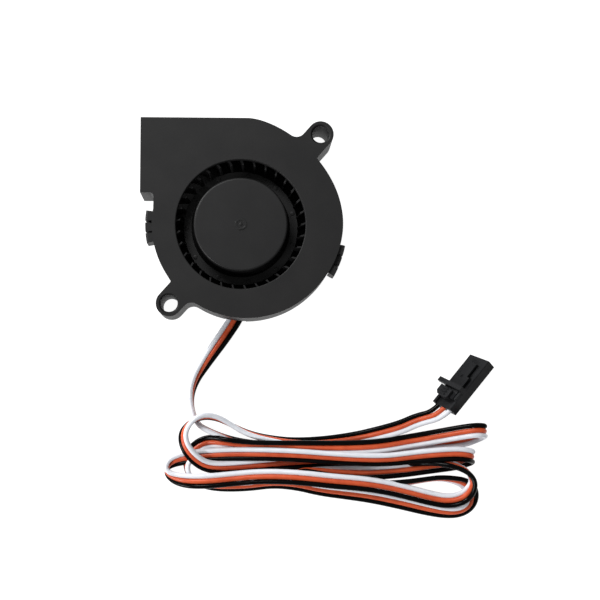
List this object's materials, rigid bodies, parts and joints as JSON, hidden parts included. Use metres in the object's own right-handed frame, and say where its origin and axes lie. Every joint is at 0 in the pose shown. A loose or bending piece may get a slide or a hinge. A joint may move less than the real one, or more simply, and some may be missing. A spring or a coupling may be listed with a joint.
{
  "type": "radial blower fan with lead",
  "caption": "Flat radial part-cooling blower for a 3-D printer hotend, with side outlet, flat lead and latching plug.",
  "frame": {"origin": "middle of the casing's box, on its rear face", "axes": "+Z along the rotor axis from the rear face to the intake; the outlet faces -X"},
  "size_m": [0.091, 0.1027, 0.015],
  "materials": {
    "casing_plastic": "fine spark-eroded texture, glass-filled black",
    "impeller_plastic": "smooth moulded black",
    "label_paper": "matt, blank",
    "yoke_steel": "drawn steel",
    "magnet": "bonded ferrite",
    "shaft_steel": "ground",
    "ring_plastic": "nylon",
    "tube_brass": "turned",
    "bearing_steel": "bearing steel",
    "core_steel": "laminated sheet",
    "insulator_plastic": "natural nylon",
    "coil_copper": "enamelled copper wire",
    "board": "green solder mask on glass-fibre board",
    "chip": "epoxy",
    "solder": "tin",
    "wire_black": "PVC",
    "wire_orange": "PVC",
    "wire_white": "PVC",
    "plug_plastic": "moulded nylon",
    "terminal_tin": "tin-plated phosphor bronze"
  },
  "bodies": {
    "casing": {"base_housing": "casing_plastic", "front_cover": "casing_plastic", "rear_label": "label_paper", "bearing_tube": "tube_brass", "lower_bearing": "bearing_steel", "upper_bearing": "bearing_steel", "preload_spring": "shaft_steel", "stator_core": "core_steel", "lower_insulator": "insulator_plastic", "upper_insulator": "insulator_plastic", "circuit_board": "board", "driver_chip": "chip", "chip_parts": "chip", "solder_joints": "solder", "coil_1": "coil_copper", "coil_2": "coil_copper", "coil_3": "coil_copper", "coil_4": "coil_copper", "cable_hank": "wire_black", "plug_housing": "plug_plastic", "lead_black": "wire_black", "tail_black": "wire_black", "terminal_black": "terminal_tin", "lead_orange": "wire_orange", "tail_orange": "wire_orange", "terminal_orange": "terminal_tin", "lead_white": "wire_white", "tail_white": "wire_white", "terminal_white": "terminal_tin"},
    "rotor": {"impeller": "impeller_plastic", "rotor_yoke": "yoke_steel", "magnet_ring": "magnet", "shaft": "shaft_steel", "shaft_retaining_ring": "ring_plastic"},
    "plug_lever": {"plug_latch": "plug_plastic"}
  },
  "joints": [
    {"name": "rotor_spin", "type": "hinge", "parent": "casing", "child": "rotor", "pos_m": [-0.00056, -0.00168, 0.0075], "axis": [0, 0, 1], "continuous": true},
    {"name": "plug_latch_press", "type": "hinge", "parent": "casing", "child": "plug_lever", "pos_m": [0.06014, -0.0366, 0.00455], "axis": [-0.5928, 0.4852, -0.6428], "range_deg": [-3.5, 0], "stiffness_Nm_per_rad": 0.02}
  ]
}
